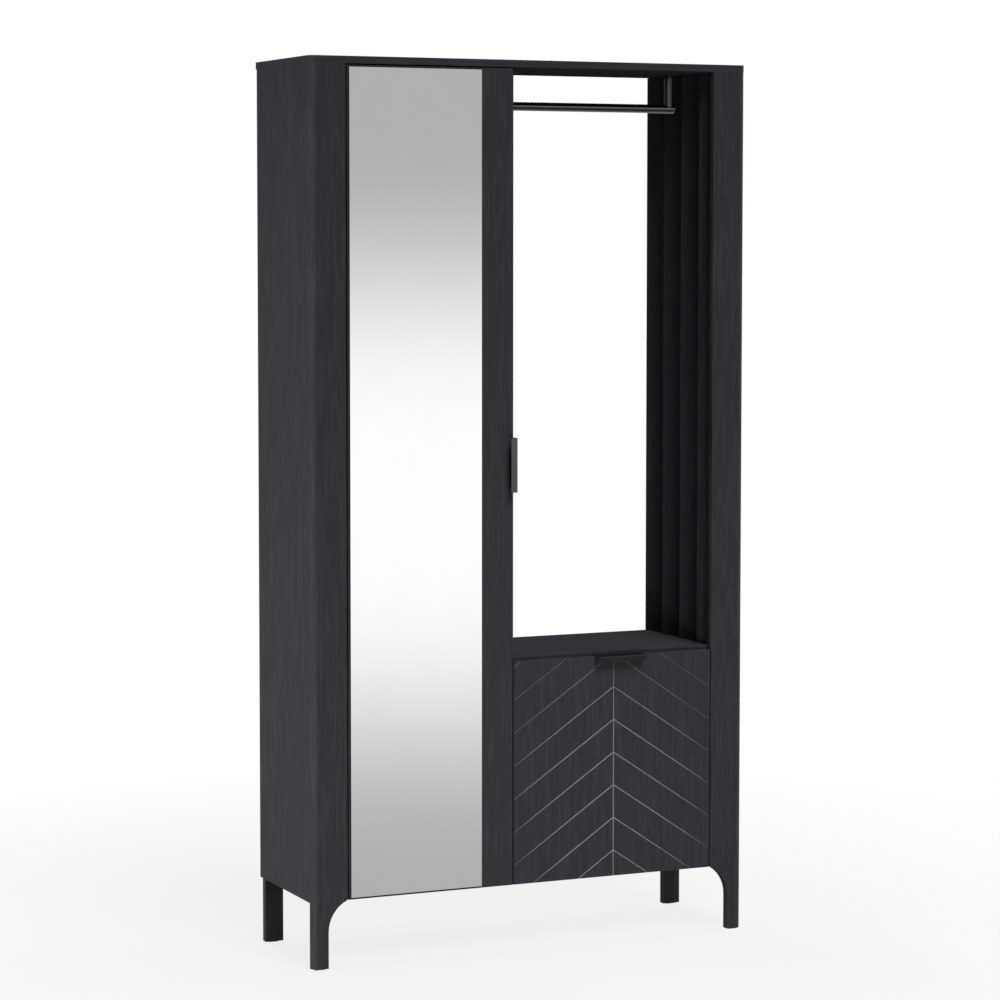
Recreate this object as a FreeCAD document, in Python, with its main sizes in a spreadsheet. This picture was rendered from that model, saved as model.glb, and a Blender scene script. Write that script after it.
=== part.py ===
import FreeCAD, Part
import math
import os
import re

# Hall wardrobe of laminated board: a tall cupboard behind a mirror door on the left,
# an open coat niche on the right, and a tilting shoe cabinet under the niche.
# Millimetres and degrees. The origin is on the floor, in the middle of the outer box;
# +Z is up, +X is to the right of someone who faces the front, and the front faces -Y.

SIZES = {
    # carcass
    "overall_height": 2000,
    "carcass_width": 1068,
    "carcass_depth": 333,
    "board": 16,
    "hardboard": 3,
    "hardboard_inset": 2,
    "hardboard_joint": 0.8,
    "top_overhang": 1,
    "top_round": 16,
    "post_width": 82.5,
    "post_thickness": 18,
    "post_round": 15,
    "leg_width": 37.5,
    "leg_arc": 75,
    "leg_height": 148,
    "rear_leg_width": 42.5,
    "rear_leg_thickness": 18,
    "rear_leg_side_inset": 2.5,
    "rear_leg_back_inset": 9.5,
    "glide_height": 2,
    "glide_width": 22,
    "glide_depth": 10,
    # bays
    "wardrobe_width": 400.5,
    "niche_floor": 666,
    "flute_pitch": 87.2,
    "flute_depth": 9.5,
    "fluted_board": 18,
    "fluted_top_gap": 0.5,
    "batten_width": 18,
    "batten_end_gap": 60,
    "lower_shelf_height": 480,
    "upper_shelf_height": 1640,
    "shelf_setback": 40,
    "shelf_side_gap": 0.5,
    "shelf_pin_radius": 2.5,
    "shelf_pin_depth": 9,
    "shelf_pin_reach": 8,
    "shelf_pin_inset": 40,
    "rod_radius": 10,
    "rod_drop": 45,
    "rod_end_inset": 30,
    "rod_holder_width": 34,
    "rod_holder_depth": 12,
    # door, mirror, flap
    "front_bottom": 151.5,
    "front_thickness": 16,
    "front_gap": 3,
    "flap_drop": 7.5,
    "mirror_margin": 4.5,
    "mirror_strip": 77.2,
    "mirror_thickness": 4,
    "groove_pitch": 75.2,
    "groove_angle": 33.8,
    "groove_depth": 1.75,
    "chevron_drop": 3.6,
    "chevron_offset": 1.5,
    "handle_length": 122,
    "handle_plate": 1.5,
    "handle_proud": 24,
    "handle_lip": 14,
    "handle_slant": 22,
    "handle_flange": 20,
    "handle_corner": 1.2,
    "handle_edge_round": 0.7,
    "handle_screw_pitch": 96,
    "door_handle_height": 1101,
    "flap_handle_offset": 14,
    # clothes rail
    "rail_radius": 10,
    "rail_upright_radius": 9.5,
    "rail_wall": 1.5,
    "rail_cap": 1.2,
    "rail_drop": 78,
    "rail_left_inset": 20,
    "rail_right_inset": 14.7,
    "rail_overrun": 14.5,
    "rail_setback": 198,
    "plug_length": 25,
    "bolt_radius": 3,
    "bolt_length": 40,
    "bolt_head_radius": 6,
    "bolt_head_height": 3,
    # concealed hinges
    "hinge_end_offset": 120,
    "hinge_inset": 18,
    "cup_radius": 17.5,
    "cup_offset": 5,
    "cup_depth": 12.5,
    "cup_wall": 1.5,
    "cup_floor": 0.8,
    "cup_flange": 1,
    "cup_flange_width": 24,
    "cup_flange_height": 56,
    "cup_screw_pitch": 45,
    "hinge_pin_radius": 1.5,
    "hinge_pin_length": 32,
    "knuckle_radius": 3.2,
    "arm_height": 10,
    "arm_thickness": 4.5,
    "arm_angle": 31,
    "arm_bar_start": 21,
    "arm_drop_start": 9.5,
    "arm_tip": 18.5,
    "arm_block_far": 52,
    "arm_block_near": 34,
    "plate_far": 68,
    "plate_near": 26,
    "plate_thickness": 2,
    "plate_height": 48,
    "plate_screw_pitch": 32,
    # small fittings
    "screw_radius": 1.75,
    "screw_head_radius": 3.5,
    "screw_head_height": 1.5,
    "screw_length": 10,
    "cam_radius": 7.5,
    "cam_depth": 12,
    "cam_distance": 24,
    "cam_front_inset": 70,
    "cam_rear_inset": 60,
    "cam_bolt_radius": 3.5,
    "cam_bolt_bite": 10,
    "nail_radius": 1,
    "nail_length": 16,
    "nail_end_inset": 90,
    "catch_above_handle": 148,
    "catch_length": 46,
    "catch_width": 14,
    "catch_depth": 15,
    "strike_thickness": 1.2,
    "bumper_radius": 3,
    "bumper_height": 1.6,
    "bumper_inset": 25,
    "fit_gap": 0.1,
    "running_gap": 0.05,
    "rest_gap": 0.3,
    # shoe rack on the flap
    "pivot_setback": 26,
    "pivot_height": 157,
    "pivot_radius": 4,
    "pivot_depth": 10,
    "bush_wall": 2,
    "swing_notch": 22,
    "swing_gap": 1.5,
    "rack_side_gap": 2,
    "rack_board": 9,
    "rack_depth": 210,
    "rack_height": 420,
    "rack_tail_height": 90,
    "rack_top_depth": 70,
    "rack_floor_gap": 4,
    "ear_depth": 20,
    "ear_drop": 7,
    "lower_tier_rise": 15,
    "upper_tier_rise": 225,
    "tier_board": 8,
    "tier_rail_height": 55,
    "upper_tier_depth": 120,
    "slot_radius": 150,
    "slot_start_angle": 30,
    "slot_sweep_angle": 45,
    "slot_half_width": 4,
    "stop_pin_radius": 3,
}

HINGES = 4
NAIL_ROWS = 5

doc = FreeCAD.newDocument("hall_wardrobe")
sheet = doc.addObject("Spreadsheet::Sheet", "Sizes")
for row, (alias, value) in enumerate(SIZES.items(), 1):
    sheet.set("A%d" % row, str(value))
    sheet.setAlias("A%d" % row, alias)
doc.recompute()

nodes = []
AXES = {
    "x": FreeCAD.Rotation(FreeCAD.Vector(0, 1, 0), 90),
    "y": FreeCAD.Rotation(FreeCAD.Vector(1, 0, 0), -90),
    "z": FreeCAD.Rotation(),
}


def ex(text):
    """The expression with each size's name pointing at its cell."""
    return re.sub(r"[a-z_]+", lambda m: "Sizes." + m.group() if m.group() in SIZES else m.group(), text)


def bind(thing, sizes):
    for name, text in sizes.items():
        thing.setExpression(name, ex(text))


def place(thing, x, y, z):
    bind(thing, {"Placement.Base.x": x, "Placement.Base.y": y, "Placement.Base.z": z})
    return thing


def node(thing, label):
    """Marks a finished object as one sub-part."""
    thing.Label = label
    nodes.append(thing)
    return thing


def box(name, x, y, z, dx, dy, dz):
    thing = doc.addObject("Part::Box", name)
    bind(thing, {"Length": dx, "Width": dy, "Height": dz})
    return place(thing, x, y, z)


def cylinder(name, axis, x, y, z, radius, length):
    thing = doc.addObject("Part::Cylinder", name)
    thing.Placement.Rotation = AXES[axis]
    bind(thing, {"Radius": radius, "Height": length})
    return place(thing, x, y, z)


def fuse(name, things):
    thing = doc.addObject("Part::MultiFuse", name)
    thing.Shapes = things
    thing.Refine = True
    return thing


def group(name, things):
    """Separate solids of one kind."""
    thing = doc.addObject("Part::Compound", name)
    thing.Links = things
    return thing


def cut(name, base, tools):
    thing = doc.addObject("Part::Cut", name)
    thing.Base = base
    thing.Tool = tools[0] if len(tools) == 1 else group(name + "_tools", tools)
    return thing


def body_box(body, kind, name, x, y, z, dx, dy, dz):
    thing = body.newObject("PartDesign::" + kind, name)
    bind(thing, {"Length": dx, "Width": dy, "Height": dz})
    return place(thing, x, y, z)


def round_edges(body, name, radius, chosen):
    """Rounds the edges of the body's last feature that the test picks."""
    doc.recompute()
    base = body.Tip
    picked = []
    for number, edge in enumerate(base.Shape.Edges, 1):
        ends = [vertex.Point for vertex in edge.Vertexes]
        if len(ends) == 2 and chosen(ends[0], ends[1]):
            picked.append("Edge%d" % number)
    thing = body.newObject("PartDesign::Fillet", name)
    thing.Base = (base, picked)
    thing.setExpression("Radius", ex(radius))
    return thing


def near(a, b):
    return abs(a - b) < 0.01


# Places that several pieces share, as expressions of the sizes.
FRONT = "((handle_proud - carcass_depth - hardboard) / 2)"
POST_BACK = "(%s + post_thickness)" % FRONT
FRONTS_BACK = "(%s + front_thickness)" % FRONT
REAR = "(%s + carcass_depth)" % FRONT
PANEL_DEPTH = "(carcass_depth - post_thickness)"
UNDER_TOP = "(overall_height - board)"
FLOOR = "(leg_height + board)"
SIDE_HEIGHT = "(%s - %s)" % (UNDER_TOP, FLOOR)
HALF = "(carcass_width / 2)"
POST_EDGE = "(carcass_width / 2 - post_width)"
DIVIDER = "(wardrobe_width - %s)" % POST_EDGE
DIVIDER_LEFT = "(%s - board / 2)" % DIVIDER
DIVIDER_RIGHT = "(%s + board / 2)" % DIVIDER
SHELF_UNDER = "(niche_floor - board)"
DOOR_LEFT = "(front_gap - %s)" % POST_EDGE
DOOR_RIGHT = "(%s - front_gap / 2)" % DIVIDER
DOOR_TOP = "(%s - front_gap)" % UNDER_TOP
CATCH_LOW = "(door_handle_height + catch_above_handle - catch_length / 2)"
FLAP_LEFT = "(%s + front_gap / 2)" % DIVIDER
FLAP_RIGHT = "(%s - front_gap)" % POST_EDGE
FLAP_TOP = "(niche_floor - flap_drop)"
FLAP_MIDDLE = "((%s + %s) / 2)" % (FLAP_LEFT, FLAP_RIGHT)
FLAP_HANDLE_MIDDLE = "(%s + flap_handle_offset)" % FLAP_MIDDLE
SIDE_INNER = "(carcass_width / 2 - board)"
FLUTED_BACK = "(%s + fluted_board)" % POST_EDGE


def screw(name, x, y, z):
    """A pan-head screw driven towards the front, its head seated at y."""
    shank = cylinder(name + "_shank", "y", x, y + " - screw_length", z, "screw_radius", "screw_length")
    head = cylinder(name + "_head", "y", x, y, z, "screw_head_radius", "screw_head_height")
    return fuse(name, [shank, head])


def screw_hole(name, x, y, z):
    """The hole that a screw seated at y needs, through a plate and into the board under it."""
    start = "%s - screw_length - fit_gap" % y
    return cylinder(name, "y", x, start, z, "screw_radius + fit_gap", "screw_length + 2 * fit_gap")


def front_posts():
    """Each post is one board down to the floor: below the fronts it narrows to a leg along an arc."""
    height = "%s - glide_height" % UNDER_TOP
    arc_rise = "sqrt(leg_arc^2 - (leg_arc - post_width + leg_width)^2)"
    arc_height = "front_bottom - glide_height - %s" % arc_rise
    width = sheet.get("post_width")
    for side in ("left", "right"):
        left = side == "left"
        body = doc.addObject("PartDesign::Body", side + "_post_shaped")
        body_box(body, "AdditiveBox", side + "_post_board", "0", "0", "0", "post_width", "post_thickness", height)
        body_box(body, "SubtractiveBox", side + "_post_notch", "leg_width" if left else "0", "0", "0",
                 "post_width - leg_width", "post_thickness", arc_height)
        arc = body.newObject("PartDesign::SubtractiveCylinder", side + "_post_arc")
        arc.Placement.Rotation = AXES["y"]
        bind(arc, {"Radius": "leg_arc", "Height": "post_thickness"})
        middle = "leg_width + leg_arc" if left else "post_width - leg_width - leg_arc"
        place(arc, middle, "0", arc_height)
        outer = 0 if left else width
        round_edges(body, side + "_post_rounding", "post_round",
                    lambda a, b: near(a.x, outer) and near(b.x, outer) and near(a.y, 0) and near(b.y, 0))
        place(body, "-" + HALF if left else POST_EDGE, FRONT, "glide_height")
        holes = []
        if left:
            for number in range(HINGES):
                for name, sign in (("upper", "+"), ("lower", "-")):
                    holes.append(screw_hole("post_hole_%d_%s" % (number, name), PLATE_SCREW,
                                            POST_BACK + " + plate_thickness",
                                            "%s %s plate_screw_pitch / 2" % (hinge_height(number), sign)))
        node(cut(side + "_post", body, holes) if holes else body, side + "_post")


def hinge_height(number):
    """The heights of the hinges, spread evenly between the outer two."""
    span = "(%s - front_bottom - 2 * hinge_end_offset)" % DOOR_TOP
    return "(front_bottom + hinge_end_offset + %s * %d / %d)" % (span, number, HINGES - 1)


PIVOT_X = "(%s + hinge_inset)" % DOOR_LEFT
PIVOT_Y = "(%s + front_thickness / 2)" % FRONT
CUP_X = "(%s + cup_offset)" % PIVOT_X
PLATE_SCREW = "(%s - (plate_far + arm_block_far) / 2)" % PIVOT_X


def cam_places():
    """Where the upright boards meet the top and the bottom: board name, inner face, middle, y, end."""
    uprights = (
        ("left_side_panel", "-%s - cam_depth" % SIDE_INNER, "board / 2 - %s" % HALF),
        ("middle_divider", DIVIDER_LEFT, DIVIDER),
        ("right_side_panel", SIDE_INNER, "%s - board / 2" % HALF),
    )
    rows = (FRONT + " + cam_front_inset", REAR + " - cam_rear_inset")
    for name, start, middle in uprights:
        for number, y in enumerate(rows):
            for end in ("top", "bottom"):
                yield "%s_%s_%d" % (name, end, number), name, start, middle, y, end


def cams_of(name):
    """The bores that one upright needs for its cams and their bolts."""
    tools = []
    for key, owner, start, middle, y, end in cam_places():
        if owner != name:
            continue
        z = UNDER_TOP + " - cam_distance" if end == "top" else FLOOR + " + cam_distance"
        bore = cylinder(key + "_cam_bore", "x", start, y, z, "cam_radius + fit_gap", "cam_depth")
        low = UNDER_TOP + " - cam_distance" if end == "top" else FLOOR
        hole = cylinder(key + "_end_bore", "z", middle, y, low, "cam_bolt_radius + fit_gap", "cam_distance")
        tools.append(fuse(key + "_bores", [bore, hole]))
    return tools


def cam_fittings():
    """Turned discs flush in the uprights, and the bolts that they pull on."""
    discs = []
    bolts = []
    for key, owner, start, middle, y, end in cam_places():
        top = end == "top"
        z = UNDER_TOP + " - cam_distance" if top else FLOOR + " + cam_distance"
        discs.append(cylinder(key + "_disc", "x", start, y, z, "cam_radius", "cam_depth"))
        length = "cam_distance - cam_radius - 2 * fit_gap + cam_bolt_bite"
        low = (UNDER_TOP + " - cam_distance + cam_radius + 2 * fit_gap") if top else FLOOR + " - cam_bolt_bite"
        bolts.append(cylinder(key + "_bolt", "z", middle, y, low, "cam_bolt_radius", length))
    node(group("cam_discs", discs), "cam_discs")
    node(group("cam_bolts", bolts), "cam_bolts")


def cam_bolt_holes(wanted):
    """The blind holes in the top panel or the bottom panel."""
    holes = []
    for key, owner, start, middle, y, end in cam_places():
        if end == wanted:
            z = UNDER_TOP if end == "top" else FLOOR + " - cam_bolt_bite - fit_gap"
            holes.append(cylinder(key + "_blind", "z", middle, y, z, "cam_bolt_radius + fit_gap",
                                  "cam_bolt_bite + fit_gap"))
    return holes


def nail_places():
    """The nails of the two backs: name, board, back, x, z."""
    low = "(%s + nail_end_inset)" % FLOOR
    tall = "(%s - 2 * nail_end_inset)" % SIDE_HEIGHT
    short = "(%s - %s - 2 * nail_end_inset)" % (SHELF_UNDER, FLOOR)
    lines = (
        ("left_side_panel", "wardrobe_back", "board / 2 - %s" % HALF, tall, NAIL_ROWS),
        ("middle_divider", "wardrobe_back", DIVIDER + " - board / 4", tall, NAIL_ROWS),
        ("middle_divider", "shoe_cabinet_back", DIVIDER + " + board / 4", short, NAIL_ROWS - 2),
        ("right_side_panel", "shoe_cabinet_back", "%s - board / 2" % HALF, short, NAIL_ROWS - 2),
    )
    for upright, back, x, span, count in lines:
        for number in range(count):
            z = "%s + %s * %d / %d" % (low, span, number, count - 1)
            yield "%s_%s_%d" % (upright, back, number), upright, back, x, z


def nail_holes(name):
    holes = []
    for key, upright, back, x, z in nail_places():
        if name in (upright, back):
            start = REAR + " + hardboard - nail_length - fit_gap"
            holes.append(cylinder("%s_hole_in_%s" % (key, name), "y", x, start, z, "nail_radius + fit_gap",
                                  "nail_length + fit_gap"))
    return holes


def back_panel_nails():
    start = REAR + " + hardboard - nail_length"
    nails = [cylinder(key + "_nail", "y", x, start, z, "nail_radius", "nail_length")
             for key, upright, back, x, z in nail_places()]
    node(group("back_panel_nails", nails), "back_panel_nails")


SHELVES = {"lower_wardrobe_shelf": "lower_shelf_height", "upper_wardrobe_shelf": "upper_shelf_height"}


def pin_places():
    """Four pins under each wardrobe shelf: name, upright, y, z."""
    rows = (POST_BACK + " + shelf_setback + shelf_pin_inset", REAR + " - shelf_pin_inset")
    for shelf, height in SHELVES.items():
        for upright in ("left_side_panel", "middle_divider"):
            for number, y in enumerate(rows):
                yield "%s_%s_%d" % (shelf, upright, number), upright, y, height + " - board - shelf_pin_radius"


def pin_holes(name):
    holes = []
    start = "-%s - shelf_pin_depth" % SIDE_INNER if name == "left_side_panel" else DIVIDER_LEFT
    for key, upright, y, z in pin_places():
        if upright == name:
            holes.append(cylinder(key + "_pin_hole", "x", start, y, z, "shelf_pin_radius + fit_gap",
                                  "shelf_pin_depth"))
    return holes


def wardrobe_inside():
    """Two loose shelves on pins, and a short rod that runs front to back under the upper one."""
    left = "shelf_side_gap - %s" % SIDE_INNER
    width = "%s + %s - 2 * shelf_side_gap" % (DIVIDER_LEFT, SIDE_INNER)
    front = POST_BACK + " + shelf_setback"
    for shelf, height in SHELVES.items():
        board = box(shelf, left, front, height + " - board", width, PANEL_DEPTH + " - shelf_setback", "board")
        node(board, shelf)
    pins = []
    for key, upright, y, z in pin_places():
        start = "-%s - shelf_pin_depth" % SIDE_INNER
        if upright == "middle_divider":
            start = DIVIDER_LEFT + " - shelf_pin_reach"
        pins.append(cylinder(key + "_pin", "x", start, y, z, "shelf_pin_radius",
                             "shelf_pin_depth + shelf_pin_reach"))
    node(group("shelf_pins", pins), "shelf_pins")

    middle = "((%s - %s) / 2)" % (DIVIDER_LEFT, SIDE_INNER)
    under = "(upper_shelf_height - board)"
    first = "(%s + rod_end_inset)" % front
    last = "(%s - rod_end_inset - rod_holder_depth)" % REAR
    holders = []
    for number, y in enumerate((first, last)):
        name = "rod_holder_%d" % number
        block = box(name + "_block", middle + " - rod_holder_width / 2", y,
                    under + " - rod_drop - rod_holder_width / 2", "rod_holder_width", "rod_holder_depth",
                    "rod_drop + rod_holder_width / 2")
        bore = cylinder(name + "_bore", "y", middle, y, under + " - rod_drop", "rod_radius + fit_gap",
                        "rod_holder_depth")
        holders.append(cut(name, block, [bore]))
    node(group("rod_holders", holders), "rod_holders")
    rod = cylinder("wardrobe_rod", "y", middle, first, under + " - rod_drop", "rod_radius",
                   "%s + rod_holder_depth - %s" % (last, first))
    node(rod, "wardrobe_rod")


def carcass():
    """Top and bottom panels, sides, divider, niche shelf and the partition of the shoe cabinet.

    The fronts hide the bottom panel's front edge, so it is cut back where the flap's lower edge
    and the heel of the door swing in.
    """
    width = sheet.get("carcass_width") + 2 * sheet.get("top_overhang")
    top = doc.addObject("PartDesign::Body", "top_panel_blank")
    body_box(top, "AdditiveBox", "top_board", "0", "0", "0", "carcass_width + 2 * top_overhang",
             "carcass_depth + hardboard", "board")
    round_edges(top, "top_rounding", "top_round",
                lambda a, b: near(a.y, 0) and near(b.y, 0) and near(a.x, b.x)
                and (near(a.x, 0) or near(a.x, width)))
    place(top, "-%s - top_overhang" % HALF, FRONT, UNDER_TOP)
    node(cut("top_panel", top, cam_bolt_holes("top") + rail_bolt_holes()), "top_panel")

    bottom = box("bottom_blank", "-" + HALF, POST_BACK, "leg_height", "carcass_width", PANEL_DEPTH, "board")
    notch = box("bottom_notch", NOTCH_LEFT, POST_BACK, "leg_height", "%s - %s" % (NOTCH_RIGHT, NOTCH_LEFT),
                "swing_notch", "board")
    heel = "sqrt(hinge_inset^2 + front_thickness^2 / 4)"
    heel_notch = box("bottom_heel_notch", "-" + POST_EDGE, POST_BACK, "leg_height",
                     "%s + front_thickness / 2 + 2 * swing_gap + %s" % (PIVOT_X, POST_EDGE),
                     "%s + %s + swing_gap - %s" % (PIVOT_Y, heel, POST_BACK), "board")
    tools = [notch, heel_notch] + cam_bolt_holes("bottom") + bush_bores()
    node(cut("bottom_panel", bottom, tools), "bottom_panel")

    for name, x in (("left_side_panel", "-" + HALF), ("right_side_panel", SIDE_INNER)):
        blank = box(name + "_blank", x, POST_BACK, FLOOR, "board", PANEL_DEPTH, SIDE_HEIGHT)
        holes = cams_of(name) + nail_holes(name)
        if name == "left_side_panel":
            holes += pin_holes(name)
        node(cut(name, blank, holes), name)
    blank = box("middle_divider_blank", DIVIDER_LEFT, POST_BACK, FLOOR, "board", PANEL_DEPTH, SIDE_HEIGHT)
    holes = cams_of("middle_divider") + nail_holes("middle_divider") + pin_holes("middle_divider")
    stop = cylinder("divider_stop_hole", "x", DIVIDER_RIGHT + " - pivot_depth", STOP_Y, STOP_Z,
                    "stop_pin_radius + fit_gap", "pivot_depth")
    node(cut("middle_divider", blank, holes + [stop]), "middle_divider")

    shelf = box("niche_shelf", DIVIDER_RIGHT, POST_BACK, SHELF_UNDER,
                "%s - %s" % (SIDE_INNER, DIVIDER_RIGHT), PANEL_DEPTH, "board")
    node(shelf, "niche_shelf")
    blank = box("partition_blank", POST_EDGE, POST_BACK, FLOOR, "board", PANEL_DEPTH,
                "%s - %s" % (SHELF_UNDER, FLOOR))
    stop = cylinder("partition_stop_hole", "x", POST_EDGE, STOP_Y, STOP_Z, "stop_pin_radius + fit_gap",
                    "pivot_depth")
    node(cut("lower_partition", blank, [stop]), "lower_partition")


def rear_legs_and_glides():
    """Short boards under the rear corners, and a hard glide under each of the four feet."""
    y = REAR + " - rear_leg_back_inset - rear_leg_thickness"
    inner = "(carcass_width / 2 - rear_leg_side_inset - rear_leg_width)"
    height = "leg_height - glide_height"
    for side in ("left", "right"):
        x = inner if side == "right" else "rear_leg_side_inset - %s" % HALF
        leg = box(side + "_rear_leg", x, y, "glide_height", "rear_leg_width", "rear_leg_thickness", height)
        node(leg, side + "_rear_leg")
    glides = []
    front_y = FRONT + " + (post_thickness - glide_depth) / 2"
    rear_y = y + " + (rear_leg_thickness - glide_depth) / 2"
    for name, middle, glide_y in (("front", "(carcass_width / 2 - leg_width / 2)", front_y),
                                  ("rear", "(%s + rear_leg_width / 2)" % inner, rear_y)):
        for sign in ("-", ""):
            glides.append(box("%s_glide%s" % (name, "_left" if sign else "_right"),
                              "%s%s - glide_width / 2" % (sign, middle), glide_y, "0",
                              "glide_width", "glide_depth", "glide_height"))
    node(group("foot_glides", glides), "foot_glides")


def backs():
    """Hardboard over the rear edges of the wardrobe and of the shoe cabinet; the niche stays open."""
    sheets = (
        ("wardrobe_back", "hardboard_inset - " + HALF, DIVIDER + " - hardboard_joint / 2",
         UNDER_TOP + " - hardboard_inset"),
        ("shoe_cabinet_back", DIVIDER + " + hardboard_joint / 2", HALF + " - hardboard_inset",
         "niche_floor - hardboard_inset"),
    )
    low = "leg_height + hardboard_inset"
    for name, left, right, top in sheets:
        blank = box(name + "_blank", left, REAR, low, "%s - (%s)" % (right, left), "hardboard",
                    "%s - (%s)" % (top, low))
        node(cut(name, blank, nail_holes(name)), name)


def fluted_wall():
    """The niche's right wall: a board with hollow flutes from its rear edge on, carried by two battens."""
    height = "%s - niche_floor - fluted_top_gap" % UNDER_TOP
    panel = box("fluted_blank", POST_EDGE, POST_BACK, "niche_floor", "fluted_board", PANEL_DEPTH, height)
    radius = "((flute_pitch^2 / 4 + flute_depth^2) / (2 * flute_depth))"
    depth = sheet.get("carcass_depth") - sheet.get("post_thickness")
    count = math.ceil(depth / sheet.get("flute_pitch"))
    for number in range(count):
        flute = cylinder("flute_%d" % number, "z", "%s + flute_depth - %s" % (POST_EDGE, radius),
                         "%s - flute_pitch * (%d + 0.5)" % (REAR, number), "niche_floor", radius, height)
        panel = cut("fluted_panel_pass_%d" % number, panel, [flute])
    node(panel, "fluted_panel")
    battens = []
    for number, y in enumerate((POST_BACK + " + batten_width", REAR + " - flute_pitch - batten_width")):
        battens.append(box("batten_%d" % number, FLUTED_BACK, y, "niche_floor + batten_end_gap",
                           "%s - %s" % (SIDE_INNER, FLUTED_BACK), "batten_width",
                           "%s - 2 * batten_end_gap" % height))
    node(group("fluted_panel_battens", battens), "fluted_panel_battens")


RAIL_Y = "(%s + rail_setback)" % FRONT
RAIL_Z = "(%s - rail_drop)" % UNDER_TOP
RAIL_LEFT = "(%s + rail_left_inset)" % DIVIDER_RIGHT
RAIL_RIGHT = "(%s - rail_right_inset)" % POST_EDGE


def rail_bolt_holes():
    """Countersunk holes in the top panel, over the two ends of the clothes rail."""
    holes = []
    for name, x in (("left", RAIL_LEFT), ("right", RAIL_RIGHT)):
        shank = cylinder(name + "_rail_hole", "z", x, RAIL_Y, UNDER_TOP, "bolt_radius + fit_gap", "board")
        sink = doc.addObject("Part::Cone", name + "_rail_sink")
        bind(sink, {"Radius1": "bolt_radius + fit_gap", "Radius2": "bolt_head_radius + fit_gap",
                    "Height": "bolt_head_height"})
        place(sink, x, RAIL_Y, "overall_height - bolt_head_height")
        holes.append(fuse(name + "_rail_bolt_hole", [shank, sink]))
    return holes


def clothes_rail():
    """Round tube: a bar with capped ends on two short uprights; bolts from above, threaded plugs inside."""
    inner = "(rail_radius - rail_wall)"
    upright_inner = "(rail_upright_radius - rail_wall)"
    first = "(%s - rail_overrun)" % RAIL_LEFT
    last = "(%s + rail_overrun)" % RAIL_RIGHT
    span = "(%s - %s)" % (last, first)
    outside = [cylinder("rail_bar", "x", first + " + rail_cap", RAIL_Y, RAIL_Z, "rail_radius",
                        span + " - 2 * rail_cap")]
    hollow = [cylinder("rail_bar_hollow", "x", first + " + rail_wall", RAIL_Y, RAIL_Z, inner,
                       span + " - 2 * rail_wall")]
    for name, x, near_radius, far_radius in (("left", first, "rail_radius - rail_cap", "rail_radius"),
                                             ("right", last + " - rail_cap", "rail_radius",
                                              "rail_radius - rail_cap")):
        cap = doc.addObject("Part::Cone", name + "_rail_cap")
        cap.Placement.Rotation = AXES["x"]
        bind(cap, {"Radius1": near_radius, "Radius2": far_radius, "Height": "rail_cap"})
        outside.append(place(cap, x, RAIL_Y, RAIL_Z))
    plugs = []
    bolts = []
    for name, x in (("left", RAIL_LEFT), ("right", RAIL_RIGHT)):
        outside.append(cylinder(name + "_rail_upright", "z", x, RAIL_Y, RAIL_Z, "rail_upright_radius",
                                "rail_drop"))
        hollow.append(cylinder(name + "_upright_hollow", "z", x, RAIL_Y, RAIL_Z, upright_inner, "rail_drop"))
        block = cylinder(name + "_plug_block", "z", x, RAIL_Y, UNDER_TOP + " - plug_length",
                         upright_inner + " - fit_gap", "plug_length")
        thread = cylinder(name + "_plug_thread", "z", x, RAIL_Y, UNDER_TOP + " - plug_length",
                          "bolt_radius + fit_gap", "plug_length")
        plugs.append(cut(name + "_plug", block, [thread]))
        shank = cylinder(name + "_bolt_shank", "z", x, RAIL_Y, "overall_height - bolt_length", "bolt_radius",
                         "bolt_length - bolt_head_height / 2")
        head = doc.addObject("Part::Cone", name + "_bolt_head")
        bind(head, {"Radius1": "bolt_radius", "Radius2": "bolt_head_radius", "Height": "bolt_head_height"})
        place(head, x, RAIL_Y, "overall_height - bolt_head_height")
        bolts.append(fuse(name + "_bolt", [shank, head]))
    tube = cut("clothes_rail", fuse("rail_outside", outside), [fuse("rail_hollow", hollow)])
    node(tube, "clothes_rail")
    node(group("rail_plugs", plugs), "rail_plugs")
    node(group("rail_bolts", bolts), "rail_bolts")


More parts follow.
